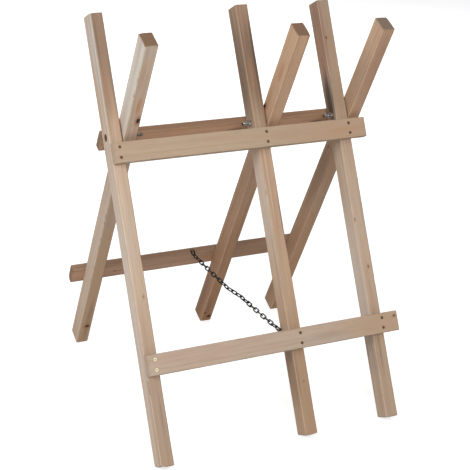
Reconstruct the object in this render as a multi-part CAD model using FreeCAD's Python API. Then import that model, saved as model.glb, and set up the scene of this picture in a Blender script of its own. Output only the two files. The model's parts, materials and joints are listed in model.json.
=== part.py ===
import FreeCAD
import Part
import math
import os

# Folding log sawhorse: two timber frames crossed like a pair of scissors and bolted at three places.
# Millimetres. +X runs along the rails, +Z is up, and the front frame has its feet towards -Y.
# The origin is on the floor, in the middle of the whole object.

# ---- driving dimensions ----
LEAN = 27.0               # each frame's lean from upright, in degrees
LEG_WIDTH = 32.0          # along X
LEG_DEPTH = 45.0          # across the frame
LEG_LENGTH = 1050.0
PIVOT_UP_LEG = 762.0      # from a leg's foot to the pivot bolt, along the leg
LEG_STARTS = {"left": 0.0, "middle": 372.0, "right": 598.0}    # left faces of the front legs
FRAME_GAP = 2.0           # between a front leg and the rear leg beside it

RAIL_LENGTH = 664.0
RAIL_HEIGHT = 49.0
RAIL_THICKNESS = 20.0
RAIL_BOTTOMS = {          # lower edges of the rails, measured up the legs from the foot
    ("front", "top"): 695.0,
    ("front", "bottom"): 207.0,
    ("rear", "top"): 697.5,
    ("rear", "bottom"): 213.5,
}

EDGE_RADIUS = 1.5         # planed arrises along the timber
END_CHAMFER = 1.0         # broken edges at the sawn ends

BOLT_RADIUS = 4.0         # M8
BOLT_CLEARANCE = 0.05     # running fit of the legs on the bolt
BOLT_LENGTHS = {"left": 80.0, "middle": 90.0, "right": 90.0}
BOLT_END_CHAMFER = 0.8
HEX_FLATS = 13.0
HEAD_THICKNESS = 5.3
NUT_THICKNESS = 6.5
THREAD_PLAY = 0.02
WASHER_RADIUS = 8.0
WASHER_HOLE_RADIUS = 4.2
WASHER_THICKNESS = 1.6
SPACER_RADIUS = 10.0
SPACER_THICKNESS = 1.9
SIDE_PLAY = 0.05          # between the washer and the turning leg
RECESS_RADIUS = 8.3       # the left bolt's head sits in a recess
RECESS_DEPTH = 13.0

SCREW_RADIUS = {"dark": 1.75, "bright": 2.2}         # countersunk wood screws through the rails
SCREW_HEAD_RADIUS = {"dark": 3.4, "bright": 4.3}
SCREW_SUNK = {"dark": 1.6, "bright": 0.3}            # heads pulled in below the face
SCREW_LENGTH = 50.0
SCREW_TIP = 5.0
SCREW_PLAY = 0.02
SCREW_HEIGHTS = (13.1, 37.4)             # above a rail's lower edge
SCREW_OFFSETS = {         # sideways from the leg's middle, as the maker set them
    ("front", "top"): {"left": -0.5, "middle": 2.0, "right": 4.0},
    ("front", "bottom"): {"left": 3.0, "middle": 4.0, "right": 6.0},
    ("rear", "top"): {"left": 1.0, "middle": -1.5, "right": 2.0},
    ("rear", "bottom"): {"left": -2.0, "middle": 0.5, "right": -3.0},
}
RECESS_SLOT = (4.4, 1.0, 1.5)            # cross recess: length, width, depth

CHAIN_WIRE = 3.2
CHAIN_WIDTH = 12.0        # outside width of a link
CHAIN_PITCH = 18.505       # inside length of a link
CHAIN_LINKS = 25          # between the two anchors, upright and flat links in turn
CHAIN_PLAY = 0.2          # between the wires of neighbouring links
STRAND_LINKS = 11         # links in each of the two strands; the three between them are the fold
CHAIN_SCREW_RADIUS = 2.0
CHAIN_SCREW_HEAD_RADIUS = 4.6
CHAIN_SCREW_HEAD = 2.6
CHAIN_SCREW_DEPTH = 25.0  # in the wood
REAR_ANCHOR_ALONG = 341.0  # where the chain starts on the rear lower rail, from the rails' left ends
REAR_ANCHOR_OUT = 12.0    # the end link's front wire, from the rear legs' centre plane
FRONT_ANCHOR_UP = 257.5   # the front screw, up the middle front leg
FRONT_ANCHOR_IN = 15.5    # the front screw, behind that leg's centre plane
FRONT_LINK_STANDOFF = 6.0  # the last link's middle, from the leg's side
FRONT_SCREW_STANDOFF = 9.0
STRAND_DRIFT = 7.0        # how far each strand runs sideways towards the other
STRAND_TWIST = 45.0       # roll of a strand's middle link about the chain's line, fading to its ends

# ---- derived places ----
ANGLE = math.radians(LEAN)
SINE = math.sin(ANGLE)
COSINE = math.cos(ANGLE)
REAR_SHIFT = LEG_WIDTH + FRAME_GAP
HEAD_END = REAR_SHIFT + LEG_WIDTH + SIDE_PLAY + WASHER_THICKNESS + HEAD_THICKNESS
OVERALL_LENGTH = LEG_STARTS["right"] + HEAD_END
LEFT_END = -OVERALL_LENGTH / 2
FOOT_LIFT = (LEG_DEPTH / 2 - END_CHAMFER) * SINE     # square-cut legs stand on their inner edges
FOOT_OUT = PIVOT_UP_LEG * SINE
PIVOT_HEIGHT = PIVOT_UP_LEG * COSINE + FOOT_LIFT
OUTWARD = {"front": -1, "rear": 1}                   # which way along Y a frame's outer faces look
SIDES = ("left", "middle", "right")
X_AXIS = FreeCAD.Vector(1, 0, 0)
Y_AXIS = FreeCAD.Vector(0, 1, 0)
Z_AXIS = FreeCAD.Vector(0, 0, 1)
ORIGIN = FreeCAD.Vector(0, 0, 0)


def to_frame(shape, frame):
    """Carry a shape from an upright frame's own axes to its place. X is along, Y to the rear, Z up the leg."""
    out = OUTWARD[frame]
    placed = shape.copy()
    placed.rotate(ORIGIN, X_AXIS, out * LEAN)
    placed.translate(FreeCAD.Vector(0, out * FOOT_OUT, FOOT_LIFT))
    return placed


def point_in_frame(along, outward, up, frame):
    """World point of a place given along the rails, outward from the legs' centre plane and up the legs."""
    out = OUTWARD[frame]
    y = out * (FOOT_OUT - up * SINE + outward * COSINE)
    z = FOOT_LIFT + up * COSINE + outward * SINE
    return FreeCAD.Vector(LEFT_END + along, y, z)


def leg_left_face(frame, side):
    shift = REAR_SHIFT if frame == "rear" else 0.0
    return LEFT_END + LEG_STARTS[side] + shift


def timber(size_x, size_y, size_z, corner, grain):
    """A planed batten: rounded arrises along the grain and lightly broken edges at both sawn ends."""
    batten = Part.makeBox(size_x, size_y, size_z, corner)
    along = [e for e in batten.Edges if abs(abs(e.tangentAt(e.FirstParameter).dot(grain)) - 1) < 1e-6]
    batten = batten.makeFillet(EDGE_RADIUS, along)
    ends = [f for f in batten.Faces if abs(abs(f.normalAt(0, 0).dot(grain)) - 1) < 1e-6]
    edges = [e for f in ends for e in f.Edges]
    return batten.makeChamfer(END_CHAMFER, edges)


def rod(radius, start, end):
    return Part.makeCylinder(radius, (end - start).Length, start, end - start)


def turned(profile, place, direction):
    """A solid turned from a profile of (radius, height) points, standing on place along direction."""
    points = [FreeCAD.Vector(r, 0, h) for r, h in profile]
    face = Part.Face(Part.makePolygon(points + points[:1]))
    solid = face.revolve(ORIGIN, Z_AXIS, 360)
    solid = Part.makeSolid(Part.Shell(solid.Shells[0].Faces)) if solid.ShapeType != "Solid" else solid
    solid.Placement = FreeCAD.Placement(place, FreeCAD.Rotation(Z_AXIS, direction))
    return solid


def screw_profile(sort, grow, top):
    """Half outline of a countersunk wood screw, its head's top at height zero, or a hole for it."""
    shank = SCREW_RADIUS[sort] + grow
    head = SCREW_HEAD_RADIUS[sort] + grow
    tip = SCREW_LENGTH + grow
    return [
        (0, top),
        (head, top),
        (head, -0.4),
        (shank, -0.4 - (head - shank)),
        (shank, -tip + SCREW_TIP),
        (0, -tip),
    ]


def screw_seats(frame, level):
    """Each rail screw's leg, its head's place in its frame's own axes, and its sort.

    The pair at the front's lower left is bright and nearly flush.
    """
    out = OUTWARD[frame]
    face = out * (LEG_DEPTH / 2 + RAIL_THICKNESS)
    seats = []
    for side in SIDES:
        sort = "bright" if (frame, level, side) == ("front", "bottom", "left") else "dark"
        x = leg_left_face(frame, side) + LEG_WIDTH / 2 + SCREW_OFFSETS[frame, level][side]
        for height in SCREW_HEIGHTS:
            z = RAIL_BOTTOMS[frame, level] + height
            seats.append((side, FreeCAD.Vector(x, face - out * SCREW_SUNK[sort], z), sort))
    return seats


def screw_holes(frame, level):
    """Cutters for a rail's screws, open to the rail's outer face."""
    outward = Y_AXIS * OUTWARD[frame]
    return [
        turned(screw_profile(sort, SCREW_PLAY, SCREW_SUNK[sort] + 1.0), place, outward)
        for _, place, sort in screw_seats(frame, level)
    ]


def screw(place, outward, sort):
    """A countersunk screw with a cross recess in its head."""
    length, width, depth = RECESS_SLOT
    blank = turned(screw_profile(sort, 0.0, 0.0), place, outward)
    bars = [
        Part.makeBox(a, b, 2 * depth, FreeCAD.Vector(-a / 2, -b / 2, -depth))
        for a, b in ((length, width), (width, length))
    ]
    for bar in bars:
        bar.Placement = FreeCAD.Placement(place, FreeCAD.Rotation(Z_AXIS, outward))
    return blank.cut(bars)


def pivot_point(x):
    """A point on the pivot axis in the upright frame's own axes."""
    return FreeCAD.Vector(x, 0, PIVOT_UP_LEG)


def chain_anchor_on_leg():
    """The front chain screw's place on the middle front leg's left side, in that frame's own axes."""
    return FreeCAD.Vector(leg_left_face("front", "middle"), FRONT_ANCHOR_IN, FRONT_ANCHOR_UP)


def chain_anchor_on_rail():
    """The rear chain screw's place on the rear lower rail's top edge, in that frame's own axes."""
    inside_link = CHAIN_PITCH - CHAIN_SCREW_RADIUS - CHAIN_PLAY + CHAIN_WIRE / 2
    top = RAIL_BOTTOMS["rear", "bottom"] + RAIL_HEIGHT
    return FreeCAD.Vector(LEFT_END + REAR_ANCHOR_ALONG, REAR_ANCHOR_OUT + inside_link, top)


def leg(frame, side):
    x = leg_left_face(frame, side)
    corner = FreeCAD.Vector(x, -LEG_DEPTH / 2, 0)
    body = timber(LEG_WIDTH, LEG_DEPTH, LEG_LENGTH, corner, Z_AXIS)
    cutters = [rod(BOLT_RADIUS + BOLT_CLEARANCE, pivot_point(x - 1), pivot_point(x + LEG_WIDTH + 1))]
    if (frame, side) == ("front", "left"):
        cutters.append(rod(RECESS_RADIUS, pivot_point(x - 1), pivot_point(x + RECESS_DEPTH)))
    if (frame, side) == ("front", "middle"):
        start = chain_anchor_on_leg()
        radius = CHAIN_SCREW_RADIUS + SCREW_PLAY
        cutters.append(rod(radius, start - X_AXIS, start + X_AXIS * CHAIN_SCREW_DEPTH))
    for level in ("top", "bottom"):
        cutters += screw_holes(frame, level)
    return to_frame(body.cut(cutters), frame)


def rail(frame, level):
    inner = LEG_DEPTH / 2 if frame == "rear" else -LEG_DEPTH / 2 - RAIL_THICKNESS
    corner = FreeCAD.Vector(LEFT_END, inner, RAIL_BOTTOMS[frame, level])
    body = timber(RAIL_LENGTH, RAIL_THICKNESS, RAIL_HEIGHT, corner, X_AXIS)
    cutters = screw_holes(frame, level)
    if (frame, level) == ("rear", "bottom"):
        start = chain_anchor_on_rail()
        radius = CHAIN_SCREW_RADIUS + SCREW_PLAY
        cutters.append(rod(radius, start + Z_AXIS, start - Z_AXIS * CHAIN_SCREW_DEPTH))
    return to_frame(body.cut(cutters), frame)


def rail_screws(frame, level, sides):
    outward = Y_AXIS * OUTWARD[frame]
    return [
        to_frame(screw(place, outward, sort), frame)
        for side, place, sort in screw_seats(frame, level)
        if side in sides
    ]


def axis_point(x):
    """World point on the pivot axis."""
    return FreeCAD.Vector(x, 0, PIVOT_HEIGHT)


def hexagon(x, thickness):
    """A hexagonal prism from x towards +X, its corners turned off at 30 degrees."""
    corner_radius = HEX_FLATS / math.sqrt(3)
    start = axis_point(x)
    points = []
    for i in range(7):
        turn = i * math.pi / 3
        corner = FreeCAD.Vector(0, math.cos(turn), math.sin(turn)) * corner_radius
        points.append(start + corner)
    prism = Part.Face(Part.makePolygon(points)).extrude(X_AXIS * thickness)
    flat = HEX_FLATS / 2 - 0.5
    drop = (corner_radius - flat) * math.tan(math.radians(30))
    outline = [
        (0, 0),
        (flat, 0),
        (corner_radius, drop),
        (corner_radius, thickness - drop),
        (flat, thickness),
        (0, thickness),
    ]
    return prism.common(turned(outline, start, X_AXIS))


def washer(x, radius, thickness):
    disc = rod(radius, axis_point(x), axis_point(x + thickness))
    return disc.cut(rod(WASHER_HOLE_RADIUS, axis_point(x - 1), axis_point(x + thickness + 1)))


def pivot_faces(side):
    """The X of the wood under a pivot's head and under its nut, and which way along X the head looks.

    The left bolt's head hides in the recess and its nut is on the rear leg. The other two bolts point the
    other way.
    """
    left = leg_left_face("front", side)
    right = left + REAR_SHIFT + LEG_WIDTH + SIDE_PLAY
    if side == "left":
        return left + RECESS_DEPTH, right, -1
    return right, left, 1


def pivot_bolt(side):
    face, _, way = pivot_faces(side)
    seat = face + way * WASHER_THICKNESS
    head = hexagon(min(seat, seat + way * HEAD_THICKNESS), HEAD_THICKNESS)
    length = BOLT_LENGTHS[side]
    outline = [
        (0, 0),
        (BOLT_RADIUS - BOLT_END_CHAMFER, 0),
        (BOLT_RADIUS, BOLT_END_CHAMFER),
        (BOLT_RADIUS, length + 1),
        (0, length + 1),
    ]
    shank = turned(outline, axis_point(seat - way * length), X_AXIS * way)
    return head.fuse(shank).removeSplitter()


def pivot_nut(side):
    _, face, way = pivot_faces(side)
    near = face - way * WASHER_THICKNESS
    x = min(near, near - way * NUT_THICKNESS)
    hole = rod(BOLT_RADIUS + THREAD_PLAY, axis_point(x - 1), axis_point(x + NUT_THICKNESS + 1))
    return hexagon(x, NUT_THICKNESS).cut(hole)


def pivot_washer(face, outward):
    """A plain washer lying on the wood at X = face, outward being the way it stands off."""
    return washer(min(face, face + outward * WASHER_THICKNESS), WASHER_RADIUS, WASHER_THICKNESS)


def head_washers():
    return [pivot_washer(face, way) for face, _, way in map(pivot_faces, SIDES)]


def nut_washers():
    return [pivot_washer(face, -way) for _, face, way in map(pivot_faces, SIDES)]


def spacer_washers():
    """The washers between the two legs of each pair."""
    return [
        washer(leg_left_face("front", side) + LEG_WIDTH, SPACER_RADIUS, SPACER_THICKNESS)
        for side in SIDES
    ]


def pan_screw(place, outward, standoff):
    """A pan-head screw whose head's underside stands off the wood at place."""
    rim = 0.8
    outline = [
        (0, standoff + CHAIN_SCREW_HEAD),
        (CHAIN_SCREW_HEAD_RADIUS * 0.6, standoff + CHAIN_SCREW_HEAD),
        (CHAIN_SCREW_HEAD_RADIUS, standoff + rim),
        (CHAIN_SCREW_HEAD_RADIUS, standoff),
        (CHAIN_SCREW_RADIUS, standoff),
        (CHAIN_SCREW_RADIUS, SCREW_TIP - CHAIN_SCREW_DEPTH),
        (0, -CHAIN_SCREW_DEPTH),
    ]
    return turned(outline, place, outward)


def link(start, end, roll, reach_start, reach_end):
    """A chain link between the centres of its two neighbours' wires, as one bent wire.

    roll is 0 for a flat link and 90 for an upright one. reach_start and reach_end are how far its own end
    wires' centres lie beyond those two points.
    """
    ahead = (end - start).normalize()
    bend = (CHAIN_WIDTH - CHAIN_WIRE) / 2
    first = start - ahead * (reach_start - bend)
    last = end + ahead * (reach_end - bend)
    flat = (X_AXIS - ahead * ahead.x).normalize()
    turn = math.radians(roll)
    across = flat * math.cos(turn) + flat.cross(ahead) * math.sin(turn)
    normal = ahead.cross(across)
    wire = CHAIN_WIRE / 2
    pieces = []
    for centre, side in ((first, across), (last, -across)):
        circle = Part.Face(Part.Wire(Part.makeCircle(wire, centre + side * bend, ahead)))
        pieces.append(circle.revolve(centre, normal, 180))
    for side in (across, -across):
        pieces.append(rod(wire, first + side * bend, last + side * bend))
    return pieces[0].fuse(pieces[1:]).removeSplitter()


def rear_hook():
    """Centre of the flat end link's front wire: the chain hangs from it."""
    up = RAIL_BOTTOMS["rear", "bottom"] + RAIL_HEIGHT + CHAIN_WIRE / 2 + SIDE_PLAY
    return point_in_frame(REAR_ANCHOR_ALONG, REAR_ANCHOR_OUT, up, "rear")


def front_hook():
    """Centre of the front chain screw where the last link hangs on it."""
    along = LEG_STARTS["middle"] - FRONT_LINK_STANDOFF
    return point_in_frame(along, -FRONT_ANCHOR_IN, FRONT_ANCHOR_UP, "front")


def link_span(number):
    """Distance between the two points that a link joins."""
    slack = CHAIN_WIRE + 2 * CHAIN_PLAY
    if number == CHAIN_LINKS:
        return CHAIN_PITCH - CHAIN_WIRE / 2 - CHAIN_SCREW_RADIUS - 2 * CHAIN_PLAY
    return CHAIN_PITCH - slack if number % 2 else CHAIN_PITCH + CHAIN_WIRE


def chain_side(number):
    """X of the joint after a link: the strands drift towards each other and the middle links cross over."""
    start = rear_hook().x
    end = front_hook().x
    after_middle = CHAIN_LINKS - STRAND_LINKS
    if number <= STRAND_LINKS:
        return start + STRAND_DRIFT * number / STRAND_LINKS
    if number >= after_middle:
        return end - STRAND_DRIFT * (CHAIN_LINKS - number) / STRAND_LINKS
    share = (number - STRAND_LINKS) / (after_middle - STRAND_LINKS)
    return start + STRAND_DRIFT + share * (end - start - 2 * STRAND_DRIFT)


def bisect(function, low, high):
    for _ in range(60):
        middle = (low + high) / 2
        if function(low) * function(middle) <= 0:
            high = middle
        else:
            low = middle
    return (low + high) / 2


def chain_joints(sag):
    """Joints from the rear hook along a shallow parabola, a link's span apart, and the last one's share."""
    start = rear_hook()
    end = front_hook()

    def on_curve(share, x):
        drop = 4 * sag * share * (1 - share)
        y = start.y + (end.y - start.y) * share
        z = start.z + (end.z - start.z) * share - drop
        return FreeCAD.Vector(x, y, z)

    joints = [start]
    share = 0.0
    for number in range(1, CHAIN_LINKS + 1):
        x = chain_side(number)

        def miss(guess):
            return (on_curve(guess, x) - joints[-1]).Length - link_span(number)

        share = bisect(miss, share, share + 0.2)
        joints.append(on_curve(share, x))
    return joints, share


def hang_chain():
    """The sag that makes the links reach exactly from hook to hook, and the joints there."""
    sag = bisect(lambda guess: chain_joints(guess)[1] - 1.0, 2.0, 60.0)
    return sag, chain_joints(sag)[0]


def link_roll(number):
    """Upright and flat links in turn, each strand's links twisted a little more towards its middle."""
    after_middle = CHAIN_LINKS - STRAND_LINKS
    upright = 90.0 if number % 2 else 0.0
    if STRAND_LINKS < number <= after_middle:
        return upright
    place = number if number <= STRAND_LINKS else number - after_middle
    return upright + STRAND_TWIST * math.sin(math.pi * (place - 1) / (STRAND_LINKS - 1))


def chain_links(joints, numbers):
    links = []
    for number in numbers:
        reach_start = CHAIN_WIRE + CHAIN_PLAY if number % 2 else 0.0
        reach_end = reach_start
        if number == CHAIN_LINKS:
            reach_end = CHAIN_WIRE / 2 + CHAIN_SCREW_RADIUS + CHAIN_PLAY
        links.append(link(joints[number - 1], joints[number], link_roll(number), reach_start, reach_end))
    return links


def chain_end_link():
    """The flat link that lies on the rear rail, held by its screw."""
    hook = rear_hook()
    into_rail = FreeCAD.Vector(0, COSINE, SINE)
    return link(hook + into_rail * (CHAIN_PITCH + CHAIN_WIRE), hook, 0.0, 0.0, 0.0)


def export(name, shapes):
    solids = [s for shape in shapes for s in shape.Solids]
    for solid in solids:
        if not solid.isValid():
            raise ValueError(name + " has a solid that is not valid")
    shape = solids[0] if len(solids) == 1 else Part.makeCompound(solids)
    shape.exportStep(os.path.join("parts", name + ".step"))


def show_point(name, point):
    print(name, round(point.x / 1000, 7), round(point.y / 1000, 7), round(point.z / 1000, 7))


os.makedirs("parts", exist_ok=True)

for frame in OUTWARD:
    for side in SIDES:
        export(frame + "_leg_" + side, [leg(frame, side)])
    for level in ("top", "bottom"):
        export(frame + "_rail_" + level, [rail(frame, level)])

export("screws_front_top", rail_screws("front", "top", SIDES))
export("screws_front_bottom", rail_screws("front", "bottom", ("middle", "right")))
export("screws_front_bottom_bright", rail_screws("front", "bottom", ("left",)))
export("screws_rear_top", rail_screws("rear", "top", SIDES))
export("screws_rear_bottom", rail_screws("rear", "bottom", SIDES))

for side in SIDES:
    export("pivot_bolt_" + side, [pivot_bolt(side)])
    export("pivot_nut_" + side, [pivot_nut(side)])
export("pivot_nut_washers", nut_washers())
export("pivot_head_washers", head_washers())
export("pivot_spacer_washers", spacer_washers())

link_lift = CHAIN_WIRE + 2 * SIDE_PLAY
rear_screw = pan_screw(chain_anchor_on_rail(), Z_AXIS, link_lift)
export("chain_rear_screw", [to_frame(rear_screw, "rear")])
front_screw = pan_screw(chain_anchor_on_leg(), -X_AXIS, FRONT_SCREW_STANDOFF)
export("chain_front_screw", [to_frame(front_screw, "front")])
export("chain_end_link", [chain_end_link()])

chain_sag, chain_points = hang_chain()
first_middle = STRAND_LINKS + 1
last_middle = CHAIN_LINKS - STRAND_LINKS
export("chain_rear_strand", chain_links(chain_points, range(1, first_middle)))
export("chain_front_strand", chain_links(chain_points, range(last_middle + 1, CHAIN_LINKS + 1)))
for name, number in zip(("rear", "centre", "front"), range(first_middle, last_middle + 1)):
    export("chain_middle_" + name, chain_links(chain_points, [number]))

chain_length = sum(link_span(number) for number in range(1, CHAIN_LINKS + 1))
print("chain sag", round(chain_sag, 2), "length", round(chain_length, 1))
show_point("pivot", FreeCAD.Vector(0, 0, PIVOT_HEIGHT))
show_point("rear_hook", chain_points[0])
for number in range(STRAND_LINKS, last_middle + 1):
    show_point("joint_" + str(number), chain_points[number])
show_point("front_hook", chain_points[-1])
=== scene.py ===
import json
import math
import random

import bmesh
import bpy
from mathutils import Matrix, Vector, noise


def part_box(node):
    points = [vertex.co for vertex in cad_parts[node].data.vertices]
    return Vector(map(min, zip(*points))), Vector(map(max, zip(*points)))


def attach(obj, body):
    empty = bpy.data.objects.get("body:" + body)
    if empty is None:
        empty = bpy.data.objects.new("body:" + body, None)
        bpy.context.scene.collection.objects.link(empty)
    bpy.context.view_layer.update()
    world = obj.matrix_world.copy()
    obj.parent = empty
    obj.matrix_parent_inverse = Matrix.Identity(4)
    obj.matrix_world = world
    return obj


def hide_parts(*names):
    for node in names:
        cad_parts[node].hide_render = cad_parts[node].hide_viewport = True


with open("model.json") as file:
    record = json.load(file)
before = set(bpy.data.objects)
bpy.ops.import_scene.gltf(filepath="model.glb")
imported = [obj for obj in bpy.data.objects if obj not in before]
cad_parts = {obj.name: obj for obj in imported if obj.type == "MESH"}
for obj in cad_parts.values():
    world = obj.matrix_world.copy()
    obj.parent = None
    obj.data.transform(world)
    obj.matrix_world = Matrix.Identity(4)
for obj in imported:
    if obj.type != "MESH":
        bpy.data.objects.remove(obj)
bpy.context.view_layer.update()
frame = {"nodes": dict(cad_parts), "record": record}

MM = 0.001
LEAN = math.radians(27.0)
SINE, COSINE = math.sin(LEAN), math.cos(LEAN)
LEG_DEPTH = 45.0 * MM
LEG_LENGTH = 1050.0 * MM
PIVOT_UP_LEG = 762.0 * MM
RAIL_HEIGHT = 49.0 * MM
RAIL_THICKNESS = 20.0 * MM
RAIL_BOTTOMS = {
    "front_rail_top": 695.0 * MM,
    "front_rail_bottom": 207.0 * MM,
    "rear_rail_top": 697.5 * MM,
    "rear_rail_bottom": 213.5 * MM,
}
PIVOT = Vector(frame["record"]["behaviour"]["joints"][0]["pos_m"])
SIDES = ("left", "middle", "right")
FRAMES = {"front": -1, "rear": 1}


# ---- shader helpers ----

class Nodes:
    """A short way to write one material's node tree."""

    def __init__(self, name):
        self.material = bpy.data.materials.new(name)
        self.material.use_nodes = True
        self.tree = self.material.node_tree
        self.shader = self.tree.nodes["Principled BSDF"]

    def add(self, kind, **settings):
        node = self.tree.nodes.new(kind)
        for key, value in settings.items():
            setattr(node, key, value)
        return node

    def feed(self, value, socket):
        if isinstance(value, bpy.types.NodeSocket):
            self.tree.links.new(value, socket)
        elif value is not None:
            socket.default_value = value

    def math(self, operation, a, b=None, c=None):
        node = self.add("ShaderNodeMath", operation=operation)
        for value, socket in zip((a, b, c), node.inputs):
            self.feed(value, socket)
        return node.outputs[0]

    def vector(self, operation, a, b=None):
        node = self.add("ShaderNodeVectorMath", operation=operation)
        self.feed(a, node.inputs[0])
        self.feed(b, node.inputs[1])
        return node

    def noise(self, place, scale, detail=3.0, roughness=0.5):
        node = self.add("ShaderNodeTexNoise")
        self.feed(place, node.inputs["Vector"])
        node.inputs["Scale"].default_value = scale
        node.inputs["Detail"].default_value = detail
        node.inputs["Roughness"].default_value = roughness
        return node.outputs["Fac"]

    def ramp(self, value, low, high):
        """0 at low and 1 at high, level beyond them."""
        node = self.add("ShaderNodeMapRange", interpolation_type="SMOOTHSTEP")
        self.feed(value, node.inputs["Value"])
        node.inputs["From Min"].default_value = low
        node.inputs["From Max"].default_value = high
        return node.outputs["Result"]

    def mix(self, share, a, b):
        node = self.add("ShaderNodeMix", data_type="RGBA")
        self.feed(share, node.inputs["Factor"])
        for value, socket in zip((a, b), (node.inputs[6], node.inputs[7])):
            if isinstance(value, tuple):
                value = (*value, 1.0)
            self.feed(value, socket)
        return node.outputs[2]

    def stretched(self, place, stretch, shift=(0.0, 0.0, 0.0)):
        node = self.add("ShaderNodeMapping")
        self.feed(place, node.inputs["Vector"])
        node.inputs["Scale"].default_value = stretch
        node.inputs["Location"].default_value = shift
        return node.outputs["Vector"]

    def lying(self, vector, turned, moved=(0.0, 0.0, 0.0)):
        """Brings a row-frame vector back to the axes of a piece that was turned and moved into its place."""
        node = self.add("ShaderNodeMapping", vector_type="TEXTURE")
        self.feed(vector, node.inputs["Vector"])
        node.inputs["Rotation"].default_value = turned
        node.inputs["Location"].default_value = moved
        return node.outputs["Vector"]

    def bump(self, height, distance, strength):
        node = self.add("ShaderNodeBump")
        node.inputs["Distance"].default_value = distance
        node.inputs["Strength"].default_value = strength
        self.feed(height, node.inputs["Height"])
        return node.outputs["Normal"]


VEIN = (0.86, 0.64, 0.52)    # share of the pale wood's colour left in a vein
DARK_FIBRE = (0.16, 0.09, 0.05)
WORN_ARRIS = (0.17, 0.10, 0.06)
# painted shade for the arris between the +X and -Y faces
ARRIS_SHADE = (0.115, 0.078, 0.052)
END_RIM = (0.21, 0.13, 0.08)
BRUISE = (0.20, 0.12, 0.07)
KNOT_HALO = (0.36, 0.155, 0.070)
KNOT_CORE = (0.045, 0.018, 0.010)
LIGHT_LINE, ARRIS_HIGHLIGHT, SAW_SHADE = 1.22, 1.25, 0.82    # times the wood's own colour; the arris share is a painted highlight
RINGS_PER_METRE = 230.0
RING_WANDER = 0.014
KNOT_SWELL = 0.006           # how far the rings bend out round a knot
ARRIS_START, ARRIS_FULL = 0.0030, 0.0004
RIM_START, RIM_FULL = 0.004, 0.0005
BRUISE_WIDTH = 0.0022
HOLE_BLUR = (0.0003, -0.0002)      # a hole's painted shade starts and is full here, from its edge outwards
ARRIS_SHADE_X = (0.0026, 0.0006)         # painted shade along the arris starts and is full here, inwards from the +X and -Y faces
ARRIS_SHADE_Y = (0.0022, 0.0002)
SAWN_END = ((0.285, 0.160, 0.092), (0.145, 0.074, 0.040))
WEATHERED_END = ((0.29, 0.225, 0.170), (0.16, 0.115, 0.085))
FRESH_END = ((0.60, 0.440, 0.320), (0.43, 0.290, 0.195))


def shaded(colour, share):
    return tuple(min(1.0, part * share) for part in colour)


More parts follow.
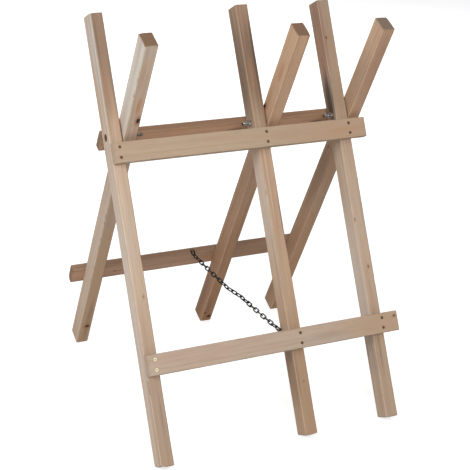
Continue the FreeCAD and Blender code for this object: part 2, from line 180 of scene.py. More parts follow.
def wood(name, laid, size, pith, tone, knots, seed, streaks=(), bores=(), sawn=SAWN_END, lines=1.0):
    """Planed softwood. Local X and Y cross the grain and Z runs along it.

    laid is the piece's place in the frame. pith is where the growth rings' centre lies across the piece.
    Each knot is (place, radius across, radius along, darkness). Each streak is (place, half size, colour,
    strength): a soft patch of another colour; some streaks are painted shade and some painted light. Each
    bore is (place, axis, radius, painted shade inside): a drilled hole, faintly bruised round its mouth and
    painted dark inside as shade. sawn is the early and late wood's colour at the sawn ends. lines is how
    strongly the grain's lines show.
    """
    n = Nodes(name)
    coords = n.add("ShaderNodeTexCoord")
    turned = laid.to_euler()
    place = n.lying(coords.outputs["Object"], turned, laid.translation)
    shifted = n.vector("ADD", place, (seed * 1.37, seed * 0.71, seed * 2.3)).outputs[0]

    wander = n.noise(n.stretched(shifted, (1.0, 1.0, 0.22)), 9.0, 2.0)
    apart = n.add("ShaderNodeSeparateXYZ")
    n.feed(place, apart.inputs[0])
    across_x = n.math("SUBTRACT", apart.outputs[0], pith[0])
    across_y = n.math("SUBTRACT", apart.outputs[1], pith[1])
    drift = n.math("MULTIPLY", apart.outputs[2], pith[2])
    across_x = n.math("ADD", across_x, drift)
    reach = n.math("SQRT", n.math("ADD", n.math("POWER", across_x, 2.0), n.math("POWER", across_y, 2.0)))
    reach = n.math("ADD", reach, n.math("MULTIPLY", wander, RING_WANDER))

    dark_knot = None
    halo = None
    for centre, across, along, darkness in knots:
        offset = n.vector("SUBTRACT", place, centre).outputs[0]
        scaled = n.vector("DIVIDE", offset, (across, across, along)).outputs[0]
        rough = n.math("MULTIPLY", n.noise(shifted, 260.0, 2.0), 0.35)
        distance = n.math("ADD", n.vector("LENGTH", scaled).outputs["Value"], rough)
        core = n.math("MULTIPLY", n.ramp(distance, 1.25, 0.85), darkness)
        ring = n.math("MULTIPLY", n.ramp(distance, 2.9, 1.0), darkness * 0.75)
        reach = n.math("ADD", reach, n.math("MULTIPLY", n.ramp(distance, 4.0, 0.6), KNOT_SWELL))
        dark_knot = core if dark_knot is None else n.math("MAXIMUM", dark_knot, core)
        halo = ring if halo is None else n.math("MAXIMUM", halo, ring)

    rings = n.math("PINGPONG", n.math("MULTIPLY", reach, RINGS_PER_METRE), 0.5)
    late = n.ramp(rings, 0.30, 0.49)
    fibres = n.noise(n.stretched(shifted, (1.0, 1.0, 0.03)), 620.0, 4.0, 0.62)
    strands = n.noise(n.stretched(shifted, (1.0, 1.0, 0.018)), 120.0, 3.0, 0.55)
    cloud = n.noise(n.stretched(shifted, (1.0, 1.0, 0.16)), 34.0, 2.0)
    pale, dark, pink, grey = tone

    colour = n.mix(n.math("MULTIPLY", late, 0.30 * lines), pale, dark)
    colour = n.mix(n.math("MULTIPLY", n.ramp(strands, 0.46, 0.68), 0.70 * lines), colour, dark)
    bright_lines = n.ramp(strands, 0.44, 0.26)
    colour = n.mix(n.math("MULTIPLY", bright_lines, 0.30 * lines), colour, shaded(pale, LIGHT_LINE))
    veins = n.noise(n.stretched(shifted, (1.0, 1.0, 0.010), (5.0, 1.0, 0.0)), 210.0, 3.0, 0.6)
    vein_colour = tuple(part * share for part, share in zip(pale, VEIN))
    colour = n.mix(n.math("MULTIPLY", n.ramp(veins, 0.54, 0.72), 0.45 * lines), colour, vein_colour)
    colour = n.mix(n.math("MULTIPLY", n.ramp(cloud, 0.50, 0.75), 0.55), colour, pink)
    colour = n.mix(n.math("MULTIPLY", n.ramp(cloud, 0.48, 0.28), 0.40), colour, grey)
    colour = n.mix(n.math("MULTIPLY", n.ramp(fibres, 0.50, 0.80), 0.30), colour, DARK_FIBRE)
    for centre, half, shade, strength in streaks:
        offset = n.vector("SUBTRACT", place, centre).outputs[0]
        scaled = n.vector("DIVIDE", offset, half).outputs[0]
        rough = n.math("MULTIPLY", n.math("SUBTRACT", strands, 0.5), 1.6)
        distance = n.math("ADD", n.vector("LENGTH", scaled).outputs["Value"], rough)
        colour = n.mix(n.math("MULTIPLY", n.ramp(distance, 1.15, 0.25), strength), colour, shade)

    half_x, half_y, length = size[0] / 2, size[1] / 2, size[2]
    out_x = n.math("ABSOLUTE", apart.outputs[0])
    out_y = n.math("ABSOLUTE", apart.outputs[1])
    near_x = n.ramp(out_x, half_x - ARRIS_START, half_x - ARRIS_FULL)
    near_y = n.ramp(out_y, half_y - ARRIS_START, half_y - ARRIS_FULL)
    scuffs = n.ramp(n.noise(n.stretched(shifted, (1.0, 1.0, 0.25)), 90.0, 3.0, 0.6), 0.42, 0.66)
    arris = n.math("MULTIPLY", near_x, near_y)
    # painted highlight: every rounded arris made paler
    colour = n.mix(n.math("MULTIPLY", arris, 0.40), colour, shaded(pale, ARRIS_HIGHLIGHT))
    nick_noise = n.noise(n.stretched(shifted, (1.0, 1.0, 0.5), (3.0, 0.0, 0.0)), 60.0, 3.0, 0.6)
    nicks = n.ramp(nick_noise, 0.60, 0.70)
    marks = n.math("MAXIMUM", nicks, n.math("MULTIPLY", scuffs, 0.35))
    worn = n.math("MULTIPLY", arris, n.math("MULTIPLY", marks, 0.7))
    colour = n.mix(worn, colour, WORN_ARRIS)
    # painted shade: the arris between the +X and -Y faces darkened, mottled by the scuff noise
    shade_side_x = n.ramp(apart.outputs[0], half_x - ARRIS_SHADE_X[0], half_x - ARRIS_SHADE_X[1])
    shade_side_y = n.ramp(apart.outputs[1], ARRIS_SHADE_Y[0] - half_y, ARRIS_SHADE_Y[1] - half_y)
    shade_sides = n.math("MULTIPLY", shade_side_x, shade_side_y)
    arris_shade = n.math("MULTIPLY", shade_sides, n.math("MULTIPLY_ADD", scuffs, 0.35, 0.50))
    colour = n.mix(arris_shade, colour, ARRIS_SHADE)

    facing = n.add("ShaderNodeSeparateXYZ")
    n.feed(n.lying(coords.outputs["Normal"], turned), facing.inputs[0])
    end = n.ramp(n.math("ABSOLUTE", facing.outputs[2]), 0.55, 0.85)
    saw = n.noise(n.stretched(shifted, (1.0, 0.06, 1.0)), 900.0, 2.0, 0.6)
    end_colour = n.mix(late, *sawn)
    end_colour = n.mix(n.math("MULTIPLY", saw, 0.5), end_colour, shaded(sawn[0], SAW_SHADE))
    colour = n.mix(end, colour, end_colour)
    edge_up = n.math("SUBTRACT", length, apart.outputs[2])
    near_end = n.math("MINIMUM", edge_up, apart.outputs[2])
    rim = n.math("MULTIPLY", n.ramp(near_end, RIM_START, RIM_FULL), 0.35)
    colour = n.mix(rim, colour, END_RIM)

    for centre, axis, radius, hole_shade in bores:
        offset = n.vector("SUBTRACT", place, centre).outputs[0]
        flat = n.vector("MULTIPLY", offset, tuple(1.0 - part for part in axis)).outputs[0]
        distance = n.vector("LENGTH", flat).outputs["Value"]
        bruised = n.ramp(distance, radius + BRUISE_WIDTH, radius)
        colour = n.mix(n.math("MULTIPLY", bruised, 0.35), colour, BRUISE)
        # painted shade inside each drilled hole and screw sink
        inside = n.ramp(distance, radius + HOLE_BLUR[0], radius + HOLE_BLUR[1])
        colour = n.mix(inside, colour, hole_shade)
    if knots:
        colour = n.mix(halo, colour, KNOT_HALO)
        colour = n.mix(dark_knot, colour, KNOT_CORE)
    n.feed(colour, n.shader.inputs["Base Color"])

    gloss = n.math("MULTIPLY_ADD", fibres, 0.18, 0.52)
    gloss = n.math("MULTIPLY_ADD", end, 0.20, gloss)
    n.feed(gloss, n.shader.inputs["Roughness"])
    n.shader.inputs["Specular IOR Level"].default_value = 0.35

    relief = n.math("ADD", n.math("MULTIPLY", fibres, 0.55), n.math("MULTIPLY", late, -0.25))
    relief = n.math("ADD", relief, n.math("MULTIPLY", saw, n.math("MULTIPLY", end, 0.8)))
    if knots:
        relief = n.math("SUBTRACT", relief, n.math("MULTIPLY", dark_knot, 1.6))
    n.feed(n.bump(relief, 0.0006, 0.55), n.shader.inputs["Normal"])
    return n.material


THREAD_ROOT_DARK = (0.030, 0.022, 0.016)
ROOT_DARK_START, ROOT_DARK_FULL = 3.80 * MM, 3.45 * MM    # distance from a bolt's axis


def metal(name, colour, worn, roughness, scale, rust=None, metallic=1.0, axis_height=None):
    """Plated or bare steel with a mottled finish and brighter worn spots.

    rust is the colour of some staining. axis_height is the height of a bolt's axis; the thread's roots round
    it are coloured darker.
    """
    n = Nodes(name)
    place = n.add("ShaderNodeTexCoord").outputs["Object"]
    mottle = n.noise(place, scale, 4.0, 0.6)
    spots = n.noise(place, scale * 4.5, 3.0, 0.6)
    shade = n.mix(n.ramp(mottle, 0.35, 0.70), colour, worn)
    if rust:
        shade = n.mix(n.math("MULTIPLY", n.ramp(spots, 0.52, 0.72), 0.7), shade, rust)
    if axis_height is not None:
        # thread roots, near the axis, coloured darker
        from_axis = n.vector("SUBTRACT", place, (0.0, 0.0, axis_height)).outputs[0]
        flat = n.vector("MULTIPLY", from_axis, (0.0, 1.0, 1.0)).outputs[0]
        reach = n.vector("LENGTH", flat).outputs["Value"]
        shade = n.mix(n.ramp(reach, ROOT_DARK_START, ROOT_DARK_FULL), shade, THREAD_ROOT_DARK)
    n.feed(shade, n.shader.inputs["Base Color"])
    n.shader.inputs["Metallic"].default_value = metallic
    n.feed(n.math("MULTIPLY_ADD", spots, 0.30, roughness), n.shader.inputs["Roughness"])
    n.feed(n.bump(mottle, 0.0003, 0.35), n.shader.inputs["Normal"])
    return n.material


# ---- timber ----

CORNERS = [(1, 1), (-1, 1), (-1, -1), (1, -1)]
CORNER_STEPS = 4
FLAT_SHARES = (0.06, 0.35, 0.65, 0.94)    # points along a flat, from corner to corner


def section(half_x, half_y, radii):
    """Points round a batten's section, each corner turned to its own radius, with more along the flats."""
    arcs = []
    for index, ((sx, sy), radius) in enumerate(zip(CORNERS, radii)):
        start = index * math.pi / 2
        centre = (sx * (half_x - radius), sy * (half_y - radius))
        arc = []
        for step in range(CORNER_STEPS + 1):
            turn = start + step / CORNER_STEPS * math.pi / 2
            arc.append((centre[0] + radius * math.cos(turn), centre[1] + radius * math.sin(turn)))
        arcs.append(arc)
    rounded = []
    for arc, following in zip(arcs, arcs[1:] + arcs[:1]):
        (ax, ay), (bx, by) = arc[-1], following[0]
        rounded += arc
        rounded += [(ax + (bx - ax) * share, ay + (by - ay) * share) for share in FLAT_SHARES]
    return rounded


RING_SPACING = 6.0 * MM      # between the rings of points along a batten
END_BEVEL = 1.0 * MM
ARRIS_RADIUS, ARRIS_VARIES, ARRIS_NICK = 1.7, 0.7, 4.0    # millimetres
PLANED_OFF, PLANING_RIPPLE = 0.10, 0.10                   # millimetres inside the full size


def batten(name, size, seed, wane=(), chips=()):
    """A planed batten standing on local Z, its arrises worn unevenly, within size everywhere.

    Each wane is (corner, middle height, half length, radius): bark-side loss along an arris. Each chip is
    (top or bottom as 1 or 0, corner, depth, reach): a corner knocked off a sawn end.
    """
    width, depth, length = size
    chance = random.Random(seed)
    shifts = [chance.uniform(0, 50) for _ in range(4)]
    count = round(length / RING_SPACING)
    inner = [length * step / count for step in range(1, count)]
    low, high = END_BEVEL * 0.35, length - END_BEVEL * 0.35
    heights = [0.0, low, END_BEVEL] + inner + [length - END_BEVEL, high, length]
    insets = {0.0: END_BEVEL, low: END_BEVEL * 0.72, length: END_BEVEL, high: END_BEVEL * 0.72}
    ends = {1: length, 0: 0.0}

    mesh = bmesh.new()
    rings = []
    for height in heights:
        radii = []
        for corner in range(4):
            worn = noise.noise(Vector((shifts[corner], height * 9.0, 0.0)))
            nick = max(0.0, noise.noise(Vector((height * 55.0, shifts[corner], 3.0))) - 0.45)
            radius = (ARRIS_RADIUS + ARRIS_VARIES * worn + ARRIS_NICK * nick) * MM
            for where, middle, half, most in wane:
                if where == corner:
                    share = max(0.0, 1.0 - abs(height - middle) / half)
                    radius += most * share ** 0.6 * (0.8 + 0.4 * worn)
            radii.append(radius)
        inset = insets.get(height, 0.0)
        outline = section(width / 2 - inset, depth / 2 - inset, radii)
        ring = []
        for x, y in outline:
            ripple = noise.noise(Vector((x * 60, y * 60, height * 4.0 + shifts[0])))
            pull = 1.0 - (PLANED_OFF + PLANING_RIPPLE * ripple) * MM / max(abs(x), abs(y))
            z = height
            for top, corner, deep, reach in chips:
                cx, cy = CORNERS[corner]
                away = math.hypot(x - cx * width / 2, y - cy * depth / 2)
                along = abs(height - ends[top])
                if away < reach and along < reach:
                    loss = deep * (1 - away / reach) ** 0.8 * (1 - along / reach)
                    z += -loss if top else loss
            ring.append(mesh.verts.new((x * pull, y * pull, z)))
        rings.append(ring)
    around = len(rings[0])
    for low, high in zip(rings, rings[1:]):
        for i in range(around):
            j = (i + 1) % around
            mesh.faces.new((low[i], low[j], high[j], high[i]))
    for ring, top in ((rings[0], False), (rings[-1], True)):
        centre_height = sum(v.co.z for v in ring) / around
        inner_ring = []
        for vert in ring:
            x, y, z = vert.co
            inner_ring.append(mesh.verts.new((x * 0.55, y * 0.55, z * 0.3 + centre_height * 0.7)))
        hub = mesh.verts.new((0.0, 0.0, centre_height))
        for i in range(around):
            j = (i + 1) % around
            quad = (ring[i], ring[j], inner_ring[j], inner_ring[i])
            wedge = (inner_ring[i], inner_ring[j], hub)
            mesh.faces.new(quad if top else tuple(reversed(quad)))
            mesh.faces.new(wedge if top else tuple(reversed(wedge)))
    bmesh.ops.recalc_face_normals(mesh, faces=mesh.faces)
    data = bpy.data.meshes.new(name)
    mesh.to_mesh(data)
    mesh.free()
    piece = bpy.data.objects.new(name, data)
    bpy.context.collection.objects.link(piece)
    return piece


def drill(piece, holes):
    """Cuts round holes: each is (start, direction, depth, radius) in the piece's own axes."""
    cutter_mesh = bmesh.new()
    for start, direction, depth, radius in holes:
        direction = Vector(direction).normalized()
        turn = Vector((0, 0, 1)).rotation_difference(direction).to_matrix().to_4x4()
        middle = Vector(start) + direction * (depth / 2)
        bmesh.ops.create_cone(
            cutter_mesh, cap_ends=True, segments=32, radius1=radius, radius2=radius, depth=depth,
            matrix=Matrix.Translation(middle) @ turn,
        )
    data = bpy.data.meshes.new(piece.name + "_cutter")
    cutter_mesh.to_mesh(data)
    cutter_mesh.free()
    cutter = bpy.data.objects.new(data.name, data)
    bpy.context.collection.objects.link(cutter)
    cut = piece.modifiers.new("holes", "BOOLEAN")
    cut.operation = "DIFFERENCE"
    cut.solver = "EXACT"
    cut.object = cutter
    bpy.context.view_layer.update()
    shaped = bpy.data.meshes.new_from_object(piece.evaluated_get(bpy.context.evaluated_depsgraph_get()))
    piece.modifiers.clear()
    old = piece.data
    piece.data = shaped
    bpy.data.meshes.remove(old)
    bpy.data.objects.remove(cutter)
    bpy.data.meshes.remove(data)


SHARP_ANGLE = math.radians(32)


def finish_piece(piece, node, body, material):
    """Smooth shading, material, and the ties to the frame."""
    for face in piece.data.polygons:
        face.use_smooth = True
    piece.data.set_sharp_from_angle(angle=SHARP_ANGLE)
    piece.data.materials.clear()
    piece.data.materials.append(material)
    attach(piece, body)
    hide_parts(node)


def frame_matrix(way, x):
    """From a frame's own axes (X across, Y to the rear, Z up the legs) to the row frame."""
    foot = Vector((x, PIVOT.y + way * PIVOT_UP_LEG * SINE, PIVOT.z - PIVOT_UP_LEG * COSINE))
    return Matrix.Translation(foot) @ Matrix.Rotation(way * LEAN, 4, "X")


def mid(node, axis):
    low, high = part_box(node)
    return (low[axis] + high[axis]) / 2


TONE = ((0.585, 0.430, 0.312), (0.455, 0.305, 0.205), (0.560, 0.365, 0.262), (0.500, 0.415, 0.335))
TINTS = {
    "front_leg_left": (0.97, 0.97, 0.97),
    "front_leg_middle": (0.86, 0.79, 0.72),
    "front_leg_right": (0.88, 0.88, 0.88),
    "front_rail_top": (0.80, 0.79, 0.76),
    "front_rail_bottom": (0.84, 0.86, 0.90),
    "rear_leg_left": (0.93, 0.96, 1.00),
    "rear_leg_middle": (0.94, 0.82, 0.73),
    "rear_leg_right": (0.93, 0.83, 0.74),
    "rear_rail_top": (0.86, 0.70, 0.59),
    "rear_rail_bottom": (0.64, 0.54, 0.48),
}
REDDISH = (0.42, 0.215, 0.120)
BROWN = (0.190, 0.110, 0.065)
DUSKY = (0.290, 0.185, 0.120)
# painted shade colour for the rear legs' lower parts
RUSSET_FOOT_SHADE = (0.290, 0.135, 0.058)
TAN = (0.450, 0.275, 0.155)
# pale grey: a real streak on one front face, elsewhere painted light on the left faces
SILVERING_AND_SIDE_LIGHT = (0.620, 0.535, 0.450)
BLACKISH = (0.080, 0.045, 0.028)


def tinted(node):
    return [tuple(part * tint for part, tint in zip(shade, TINTS[node])) for shade in TONE]


def at(x, y, z):
    return (x * MM, y * MM, z * MM)


LEG_MARKS = {   # knots, then streaks, in each leg's own axes
    "front_leg_left": (
        [(at(6, -22.5, 388), 2.2 * MM, 4.0 * MM, 0.35)],
        [(at(0, -22.5, 985), at(45, 22, 220), DUSKY, 0.95),
         (at(-8, -22.5, 985), at(4, 9, 75), BROWN, 0.50),
         (at(0, -22.5, 880), at(7, 9, 70), REDDISH, 0.45),
         (at(9, -22.5, 795), at(6, 9, 60), REDDISH, 0.30),
         (at(0, -22.5, 70), at(45, 20, 330), DUSKY, 0.55), (at(5, -22.5, 120), at(3, 6, 80), BROWN, 0.45),
         # painted light: the left face made paler and greyer
         (at(-22, 0, 480), at(12, 60, 460), SILVERING_AND_SIDE_LIGHT, 0.50),
         (at(-22, 0, 985), at(12, 60, 190), (0.62, 0.57, 0.52), 0.60)],
    ),
    "front_leg_middle": (
        [(at(2, -22.5, 128), 1.8 * MM, 3.0 * MM, 0.4)],
        [(at(0, 0, 925), at(60, 90, 200), (0.190, 0.118, 0.076), 0.90),
         (at(15, -22.5, 945), at(11, 18, 120), (0.11, 0.068, 0.042), 0.88),
         (at(17, -22.5, 520), at(5, 10, 85), BLACKISH, 0.90),
         (at(-16, 10, 920), at(10, 14, 150), BROWN, 0.60), (at(0, 0, 1040), at(60, 90, 90), DUSKY, 0.30),
         (at(-3, -22.5, 880), at(8, 9, 60), REDDISH, 0.45),
         (at(4, -22.5, 90), at(10, 8, 110), REDDISH, 0.35),
         (at(0, 0, 80), at(60, 90, 300), (0.330, 0.205, 0.120), 0.60),
         # painted shadow: the left face darkened just below the bottom rail
         (at(-16, 0, 150), at(10, 40, 90), BROWN, 0.55),
         (at(-4, -22.5, 640), at(4, 9, 220), SILVERING_AND_SIDE_LIGHT, 0.40),
         # painted light: the left face made paler and greyer
         (at(-22, 0, 560), at(12, 60, 230), SILVERING_AND_SIDE_LIGHT, 0.65)],
    ),
    "front_leg_right": (
        [(at(-7, -22.5, 954), 2.2 * MM, 3.6 * MM, 0.75), (at(-12, -22.5, 494), 2.0 * MM, 4.0 * MM, 0.45),
         (at(4, -22.5, 374), 2.2 * MM, 4.0 * MM, 0.6), (at(-16, 4, 905), 2.0 * MM, 4.0 * MM, 0.4)],
        [(at(0, 0, 1020), at(60, 90, 330), DUSKY, 0.50),
         # painted shade: the left face darkened above the rails, in the nook by the rear frame
         (at(-16, 0, 960), at(12, 50, 190), (0.235, 0.115, 0.066), 0.72),
         (at(-16, 0, 800), at(9, 30, 90), BLACKISH, 0.92), (at(-16, 2, 930), at(6, 14, 90), REDDISH, 0.35),
         (at(0, 0, 90), at(60, 90, 260), (0.350, 0.235, 0.150), 0.45),
         # painted shadow: the left face darkened just below the bottom rail
         (at(-16, 0, 165), at(10, 40, 80), BROWN, 0.45),
         (at(-3, -22.5, 180), at(4, 8, 90), BROWN, 0.45),
         # painted light: the left face made paler and greyer
         (at(-22, 0, 330), at(12, 60, 300), SILVERING_AND_SIDE_LIGHT, 0.50)],
    ),
    "rear_leg_left": (
        [(at(9.5, -22.5, 829), 5.0 * MM, 8.5 * MM, 1.0), (at(4, -22.5, 70), 6.4 * MM, 5.6 * MM, 1.0)],
        [(at(2, -22.5, 872), at(6, 9, 34), (0.50, 0.235, 0.105), 0.85),
         # painted shade: the leg darkened towards its foot
         (at(0, 0, 150), at(60, 80, 560), TAN, 0.82),
         (at(-4, -22.5, 968), at(5, 9, 60), REDDISH, 0.35), (at(4, -22.5, 95), at(9, 9, 90), BROWN, 0.40),
         # painted light: the left face made paler and greyer, a painted highlight near the top
         (at(-22, 0, 930), at(14, 60, 260), (0.63, 0.57, 0.49), 0.80),
         (at(-22, 0, 300), at(12, 60, 420), SILVERING_AND_SIDE_LIGHT, 0.45)],
    ),
    "rear_leg_middle": (
        [(at(6, -22.5, 20), 6.6 * MM, 7.0 * MM, 1.0), (at(-9, -22.5, 38), 3.2 * MM, 4.4 * MM, 0.8),
         (at(-16, 15, 802), 5.0 * MM, 7.0 * MM, 1.0)],
        [(at(-16, -4, 926), at(8, 9, 34), (0.40, 0.170, 0.085), 0.80),
         (at(-16, 8, 830), at(8, 9, 50), REDDISH, 0.70),
         # painted shade: the leg darkened towards its foot
         (at(0, 0, 120), at(60, 90, 500), RUSSET_FOOT_SHADE, 0.74), (at(-18, 0, 960), at(10, 60, 260), TAN, 0.40),
         (at(-16, 4, 90), at(10, 14, 160), BROWN, 0.50),
         (at(-4, -22.5, 60), at(9, 9, 60), BROWN, 0.50), (at(6, -22.5, 420), at(5, 9, 160), BROWN, 0.35)],
    ),
    "rear_leg_right": (
        [(at(-16, 6, 640), 2.4 * MM, 5.0 * MM, 0.5)],
        [(at(7, -22.5, 985), at(6, 9, 34), REDDISH, 0.75),
         (at(12, -22.5, 880), at(6, 9, 60), REDDISH, 0.55),
         # painted shade: the leg darkened towards its foot
         (at(0, 0, 150), at(60, 90, 560), RUSSET_FOOT_SHADE, 0.40),
         (at(4, -22.5, 930), at(34, 10, 210), (0.385, 0.220, 0.155), 0.60),
         (at(-6, -22.5, 100), at(6, 9, 120), BROWN, 0.45),
         (at(-16, 0, 540), at(9, 40, 150), BROWN, 0.45)],
    ),
}
LEG_WEAR = {    # arrises with bark-side loss, then knocked-off end corners
    "front_leg_left": (
        [(2, 1010.0 * MM, 0.05, 1.8 * MM)],
        [(0, 2, 4.5 * MM, 13 * MM), (1, 2, 1.6 * MM, 10 * MM)],
    ),
    "front_leg_middle": ([(3, 505.0 * MM, 0.09, 3.4 * MM)], [(0, 3, 1.5 * MM, 9 * MM)]),
    "front_leg_right": ([(1, 760.0 * MM, 0.06, 2.0 * MM)], [(0, 2, 1.5 * MM, 8 * MM)]),
    "rear_leg_left": ([], [(1, 1, 2.0 * MM, 12 * MM), (1, 2, 2.2 * MM, 11 * MM)]),
    "rear_leg_middle": (
        [(1, 812.0 * MM, 0.03, 2.0 * MM)],
        [(1, 3, 2.6 * MM, 14 * MM), (0, 2, 2.0 * MM, 9 * MM)],
    ),
    "rear_leg_right": ([], [(1, 0, 1.4 * MM, 9 * MM)]),
}
PITHS = {
    "front_leg_left": (0.052, 0.044, 0.012), "front_leg_middle": (-0.060, 0.026, -0.010),
    "front_leg_right": (0.034, 0.058, 0.014), "rear_leg_left": (0.018, 0.062, -0.012),
    "rear_leg_middle": (0.006, 0.050, 0.008), "rear_leg_right": (-0.046, 0.048, 0.010),
    "front_rail_top": (0.010, 0.085, 0.016), "front_rail_bottom": (-0.012, 0.080, -0.014),
    "rear_rail_top": (0.015, 0.070, 0.012), "rear_rail_bottom": (0.004, 0.060, -0.016),
}
LEG_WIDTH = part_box("front_leg_left")[1][0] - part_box("front_leg_left")[0][0]
LEFT_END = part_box("front_rail_top")[0][0]
RAIL_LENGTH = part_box("front_rail_top")[1][0] - LEFT_END
BOLT_HOLE = 4.05 * MM
RECESS_RADIUS, RECESS_DEPTH = 8.3 * MM, 13.0 * MM
# painted shade: the inside of the bolt holes and recess, then of the screw sinks
BORE_SHADE = (0.035, 0.018, 0.010)
SEAT_SHADE = (0.14, 0.085, 0.050)

for frame_name, way in FRAMES.items():
    for index, side in enumerate(SIDES):
        node = f"{frame_name}_leg_{side}"
        size = (LEG_WIDTH, LEG_DEPTH, LEG_LENGTH)
        wane, chips = LEG_WEAR[node]
        seed = 11 + index + (10 if way > 0 else 0)
        leg = batten(node + "_wood", size, seed, wane, chips)
        start = -LEG_WIDTH / 2 - MM
        holes = [((start, 0, PIVOT_UP_LEG), (1, 0, 0), LEG_WIDTH + 2 * MM, BOLT_HOLE)]
        if node == "front_leg_left":
            holes.append(((start, 0, PIVOT_UP_LEG), (1, 0, 0), RECESS_DEPTH + MM, RECESS_RADIUS))
        for hole in holes:
            drill(leg, [hole])
        knots, streaks = LEG_MARKS[node]
        radius = RECESS_RADIUS if node == "front_leg_left" else BOLT_HOLE
        mouth = ((0.0, 0.0, PIVOT_UP_LEG), (1, 0, 0), radius, BORE_SHADE)
        laid = frame_matrix(way, mid(node, 0))
        leg.data.transform(laid)
        sawn = WEATHERED_END if node == "rear_leg_right" else SAWN_END
        finish = wood(
            node + "_grain", laid, size, PITHS[node], tinted(node), knots, seed, streaks, [mouth], sawn,
        )
        finish_piece(leg, node, frame_name + "_frame", finish)

SCREW_HEIGHTS = (13.1 * MM, 37.4 * MM)
SCREW_OFFSETS = {
    "front_rail_top": (-0.5, 2.0, 4.0),
    "front_rail_bottom": (3.0, 4.0, 6.0),
    "rear_rail_top": (1.0, -1.5, 2.0),
    "rear_rail_bottom": (-2.0, 0.5, -3.0),
}
SINK_RADIUS, SINK_DEPTH = 3.42 * MM, 2.0 * MM
FLUSH_RADIUS, FLUSH_DEPTH = 4.32 * MM, 0.7 * MM
RAIL_MARKS = {
    "front_rail_top": (
        [],
        [(at(2, -10, 600), at(9, 8, 60), REDDISH, 0.25), (at(0, -10, 640), at(50, 20, 260), TAN, 0.35),
         (at(-6, -10, 250), at(9, 8, 220), TAN, 0.20)],
    ),
    "front_rail_bottom": (
        [(at(-13, -10, 655), 2.4 * MM, 3.4 * MM, 0.8)],
        [(at(4, -10, 470), at(12, 8, 70), BROWN, 0.20), (at(0, -10, 620), at(40, 20, 160), TAN, 0.55)],
    ),
    "rear_rail_top": (
        [(at(-6, -10, 395), 2.2 * MM, 4.2 * MM, 0.8)],
        [(at(10, -10, 330), at(7, 8, 330), BROWN, 0.35),
         (at(-8, -10, 470), at(14, 12, 95), (0.52, 0.33, 0.23), 0.55),
         (at(0, -10, 15), at(50, 30, 70), (0.52, 0.33, 0.23), 0.60),
         # painted shade: the top face darkened along the rail
         (at(-24, 0, 330), at(5, 30, 400), BROWN, 0.55),
         # painted shadow: two dark patches on the rail beside the nuts and the legs in front
         (at(2, -10, 352), at(13, 12, 34), BLACKISH, 0.60),
         (at(2, -10, 578), at(13, 12, 28), BLACKISH, 0.70)],
    ),
    "rear_rail_bottom": (
        [(at(3, -10, 120), 2.4 * MM, 4.4 * MM, 0.5)],
        [(at(5, -10, 384), at(10, 8, 70), REDDISH, 0.60),
         (at(11, -10, 200), at(8, 8, 330), (0.48, 0.285, 0.20), 0.50),
         # painted shade: the top face darkened along the rail
         (at(-24, 0, 330), at(5, 30, 400), BROWN, 0.60),
         (at(0, -10, 60), at(20, 12, 120), (0.52, 0.31, 0.21), 0.70)],
    ),
}
RAIL_WEAR = {
    "front_rail_top": ([], []),
    "front_rail_bottom": ([(3, 300.0 * MM, 0.12, 1.0 * MM)], [(0, 2, 1.4 * MM, 9 * MM)]),
    "rear_rail_top": ([], [(0, 2, 1.8 * MM, 10 * MM), (0, 1, 1.2 * MM, 8 * MM)]),
    "rear_rail_bottom": ([], [(0, 0, 2.0 * MM, 10 * MM)]),
}
RAIL_LINES = {"front": 0.45, "rear": 0.80}
LYING = Matrix(((0, 0, 1, 0), (0, 1, 0, 0), (-1, 0, 0, 0), (0, 0, 0, 1)))

for number, (node, bottom) in enumerate(RAIL_BOTTOMS.items()):
    frame_name = node.split("_")[0]
    way = FRAMES[frame_name]
    size = (RAIL_HEIGHT, RAIL_THICKNESS, RAIL_LENGTH)
    wane, chips = RAIL_WEAR[node]
    rail = batten(node + "_wood", size, 41 + number, wane, chips)
    holes, bores = [], []
    for side, offset in zip(SIDES, SCREW_OFFSETS[node]):
        along = mid(f"{frame_name}_leg_{side}", 0) + offset * MM - LEFT_END
        flush = (node, side) == ("front_rail_bottom", "left")
        radius, sunk = (FLUSH_RADIUS, FLUSH_DEPTH) if flush else (SINK_RADIUS, SINK_DEPTH)
        for height in SCREW_HEIGHTS:
            start = (RAIL_HEIGHT / 2 - height, way * (RAIL_THICKNESS / 2 + MM), along)
            holes.append((start, (0, -way, 0), sunk + MM, radius))
            # the sink's inside painted dark as shade
            bores.append((start, (0, 1, 0), radius, SEAT_SHADE))
    drill(rail, holes)
    knots, streaks = RAIL_MARKS[node]
    middle = Vector((0, way * (LEG_DEPTH + RAIL_THICKNESS) / 2, bottom + RAIL_HEIGHT / 2))
    laid = frame_matrix(way, LEFT_END) @ Matrix.Translation(middle) @ LYING
    rail.data.transform(laid)
    sawn = FRESH_END if frame_name == "front" else SAWN_END
    finish = wood(
        node + "_grain", laid, size, PITHS[node], tinted(node), knots, 41 + number, streaks, bores, sawn,
        RAIL_LINES[frame_name],
    )
    finish_piece(rail, node, frame_name + "_frame", finish)


# ---- steel ----

BOLT_RADIUS, THREAD_CORE, THREAD_PITCH = 3.98 * MM, 3.38 * MM, 1.25 * MM
THREADED_LENGTH = 30.0 * MM
POINT_CHAMFER = 0.9 * MM
HEAD_THICKNESS = 5.3 * MM
HEAD_FLATS = 13.0 * MM
HEAD_LIP, HEAD_LIP_INWARD = 0.9 * MM, 0.3 * MM    # the head's turned-off rim
BOLT_AROUND = 36
RINGS_PER_TURN = 8


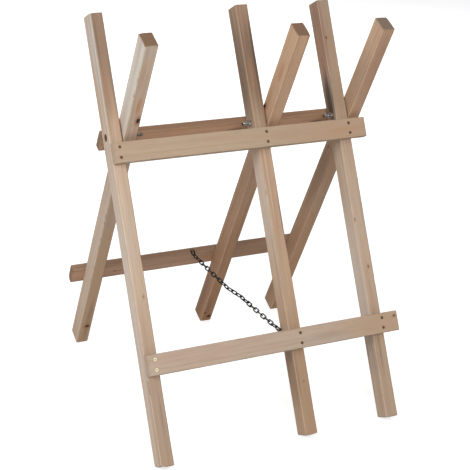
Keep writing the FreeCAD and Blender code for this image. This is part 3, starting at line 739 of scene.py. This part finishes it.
def thread_reach(place, share):
    """The thread's radius at a place along the bolt and a share of the way round."""
    phase = (place / THREAD_PITCH - share) % 1.0
    depth = (BOLT_RADIUS - THREAD_CORE) * (1 - abs(2 * phase - 1))
    run_out = 2 * THREAD_PITCH
    if place > THREADED_LENGTH - run_out:
        depth *= max(0.0, (THREADED_LENGTH - place) / run_out)
    reach = BOLT_RADIUS - depth
    if place < POINT_CHAMFER:
        reach = min(reach, BOLT_RADIUS - POINT_CHAMFER + place)
    return reach


def hexagon_reach(share):
    """The hexagon's edge a share of the way round, from its middle."""
    step = math.pi / 3
    turn = 2 * math.pi * share
    return HEAD_FLATS / 2 / math.cos((turn % step) - step / 2)


def threaded_bolt(node, body, material, head_at_left):
    """A hexagon bolt with a rolled thread, in the place of the plain one."""
    low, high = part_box(node)
    point, toward = (high.x, -1) if head_at_left else (low.x, 1)
    shank = (high.x - low.x) - HEAD_THICKNESS
    top = shank + HEAD_THICKNESS
    fine = THREAD_PITCH / RINGS_PER_TURN
    shares = [i / BOLT_AROUND for i in range(BOLT_AROUND)]
    places = [fine * step for step in range(round(THREADED_LENGTH / fine) + 1)] + [shank]
    outlines = [(place, [thread_reach(place, share) for share in shares]) for place in places]
    outlines.append((shank, [hexagon_reach(share) for share in shares]))
    outlines.append((top - HEAD_LIP, [hexagon_reach(share) for share in shares]))
    outlines.append((top, [HEAD_FLATS / 2 - HEAD_LIP_INWARD] * BOLT_AROUND))

    mesh = bmesh.new()
    rings = []
    for place, reaches in outlines:
        ring = []
        for share, reach in zip(shares, reaches):
            turn = 2 * math.pi * share
            y = PIVOT.y + reach * math.cos(turn)
            z = PIVOT.z + reach * math.sin(turn)
            ring.append(mesh.verts.new((point + toward * place, y, z)))
        rings.append(ring)
    for near, far in zip(rings, rings[1:]):
        for i in range(BOLT_AROUND):
            j = (i + 1) % BOLT_AROUND
            mesh.faces.new((near[i], near[j], far[j], far[i]))
    mesh.faces.new(rings[0])
    mesh.faces.new(rings[-1])
    bmesh.ops.recalc_face_normals(mesh, faces=mesh.faces)
    data = bpy.data.meshes.new(node + "_steel")
    mesh.to_mesh(data)
    mesh.free()
    piece = bpy.data.objects.new(node + "_steel", data)
    bpy.context.collection.objects.link(piece)
    finish_piece(piece, node, body, material)


DULL_ZINC, CLEAN_ZINC, STAIN = (0.36, 0.35, 0.34), (0.84, 0.83, 0.81), (0.11, 0.080, 0.058)
zinc = metal("zinc_plate", DULL_ZINC, CLEAN_ZINC, 0.22, 260.0, rust=STAIN)
bolt_zinc = metal("bolt_zinc", DULL_ZINC, CLEAN_ZINC, 0.22, 260.0, rust=STAIN, axis_height=PIVOT.z)
bronzed = metal("bronzed_screws", (0.105, 0.062, 0.038), (0.22, 0.140, 0.085), 0.42, 700.0, metallic=0.7)
bright = metal("yellow_zinc_screws", (0.88, 0.76, 0.44), (1.0, 0.93, 0.70), 0.34, 700.0, metallic=0.45)
chain_steel = metal(
    "chain_steel", (0.016, 0.016, 0.017), (0.070, 0.068, 0.066), 0.36, 330.0, rust=(0.030, 0.020, 0.015),
)

for side in SIDES:
    threaded_bolt("pivot_bolt_" + side, "front_frame", bolt_zinc, side == "left")

NODE_FINISHES = {
    "pivot_nut_left": zinc, "pivot_nut_middle": zinc, "pivot_nut_right": zinc,
    "pivot_nut_washers": zinc, "pivot_head_washers": zinc, "pivot_spacer_washers": zinc,
    "screws_front_top": bronzed, "screws_front_bottom": bronzed, "screws_front_bottom_bright": bright,
    "screws_rear_top": bronzed, "screws_rear_bottom": bronzed,
    "chain_rear_screw": bronzed, "chain_front_screw": bronzed, "chain_end_link": chain_steel,
    "chain_rear_strand": chain_steel, "chain_middle_rear": chain_steel, "chain_middle_centre": chain_steel,
    "chain_middle_front": chain_steel, "chain_front_strand": chain_steel,
}
for node, finish in NODE_FINISHES.items():
    piece = frame["nodes"][node]
    for material_slot in piece.material_slots:
        material_slot.material = finish


# ---- floor, light and camera ----

def plane(name, size, material):
    data = bpy.data.meshes.new(name)
    half = size / 2
    corners = [(half * x, half * y, 0) for x, y in ((-1, -1), (1, -1), (1, 1), (-1, 1))]
    data.from_pydata(corners, [], [(0, 1, 2, 3)])
    data.materials.append(material)
    thing = bpy.data.objects.new(name, data)
    bpy.context.collection.objects.link(thing)
    return thing


FLOOR_SIZE, FLOOR_DROP = 60.0, 0.0005
FLOOR_GLOW = 0.62                                 # seen by the camera, so that the floor stays pale
WORLD_LIGHT, WORLD_GLOW = 0.40, 0.60

floor_look = Nodes("studio_floor")
floor_look.shader.inputs["Base Color"].default_value = (0.66, 0.66, 0.66, 1)
floor_look.shader.inputs["Roughness"].default_value = 0.9
floor_look.shader.inputs["Emission Color"].default_value = (1.0, 1.0, 1.0, 1)
seen = floor_look.add("ShaderNodeLightPath").outputs["Is Camera Ray"]
floor_look.feed(floor_look.math("MULTIPLY", seen, FLOOR_GLOW), floor_look.shader.inputs["Emission Strength"])
floor = plane("studio_floor", FLOOR_SIZE, floor_look.material)
floor.location.z = -FLOOR_DROP

world = bpy.data.worlds.new("studio")
world.use_nodes = True
bpy.context.scene.world = world
backdrop = world.node_tree.nodes["Background"]
backdrop.inputs["Color"].default_value = (1.0, 1.0, 1.0, 1)
in_view = world.node_tree.nodes.new("ShaderNodeLightPath").outputs["Is Camera Ray"]
strength = world.node_tree.nodes.new("ShaderNodeMath")
strength.operation = "MULTIPLY_ADD"
world.node_tree.links.new(in_view, strength.inputs[0])
strength.inputs[1].default_value = WORLD_GLOW
strength.inputs[2].default_value = WORLD_LIGHT
world.node_tree.links.new(strength.outputs[0], backdrop.inputs["Strength"])


def soft_light(name, place, size, power, colour):
    data = bpy.data.lights.new(name, "AREA")
    data.shape = "DISK"
    data.size = size
    data.energy = power
    data.color = colour
    light = bpy.data.objects.new(name, data)
    light.location = place
    light.rotation_euler = (Vector((0, 0, 0.5)) - light.location).to_track_quat("-Z", "Y").to_euler()
    bpy.context.collection.objects.link(light)


soft_light("left", (-3.6, -1.2, 2.4), 1.8, 88.0, (0.88, 0.97, 1.06))
soft_light("front", (-1.0, -4.2, 2.9), 2.0, 95.0, (1.0, 0.975, 0.94))
soft_light("back", (1.6, 4.2, 2.2), 2.4, 62.0, (1.0, 0.985, 0.96))

bpy.context.scene.view_settings.view_transform = "Standard"

camera_data = bpy.data.cameras.new("camera")
camera = bpy.data.objects.new("camera", camera_data)
bpy.context.collection.objects.link(camera)
YAW, PITCH, ROLL = 0.46333, -0.38353, 0.0430
FOCAL_IN_FRAMES = 1218.93 / 470    # of the frame's width
STAND = (-1.25769, -2.53212, 1.54268)
camera_data.sensor_width = 36.0
camera_data.lens = FOCAL_IN_FRAMES * camera_data.sensor_width
forward = Vector((math.sin(YAW) * math.cos(PITCH), math.cos(YAW) * math.cos(PITCH), math.sin(PITCH)))
level = forward.cross(Vector((0, 0, 1))).normalized()
upright = level.cross(forward)
across = level * math.cos(ROLL) + upright * math.sin(ROLL)
above = upright * math.cos(ROLL) - level * math.sin(ROLL)
camera.matrix_world = Matrix((
    (across.x, above.x, -forward.x, STAND[0]),
    (across.y, above.y, -forward.y, STAND[1]),
    (across.z, above.z, -forward.z, STAND[2]),
    (0, 0, 0, 1),
))
camera_data.clip_end = 200.0
bpy.context.scene.camera = camera
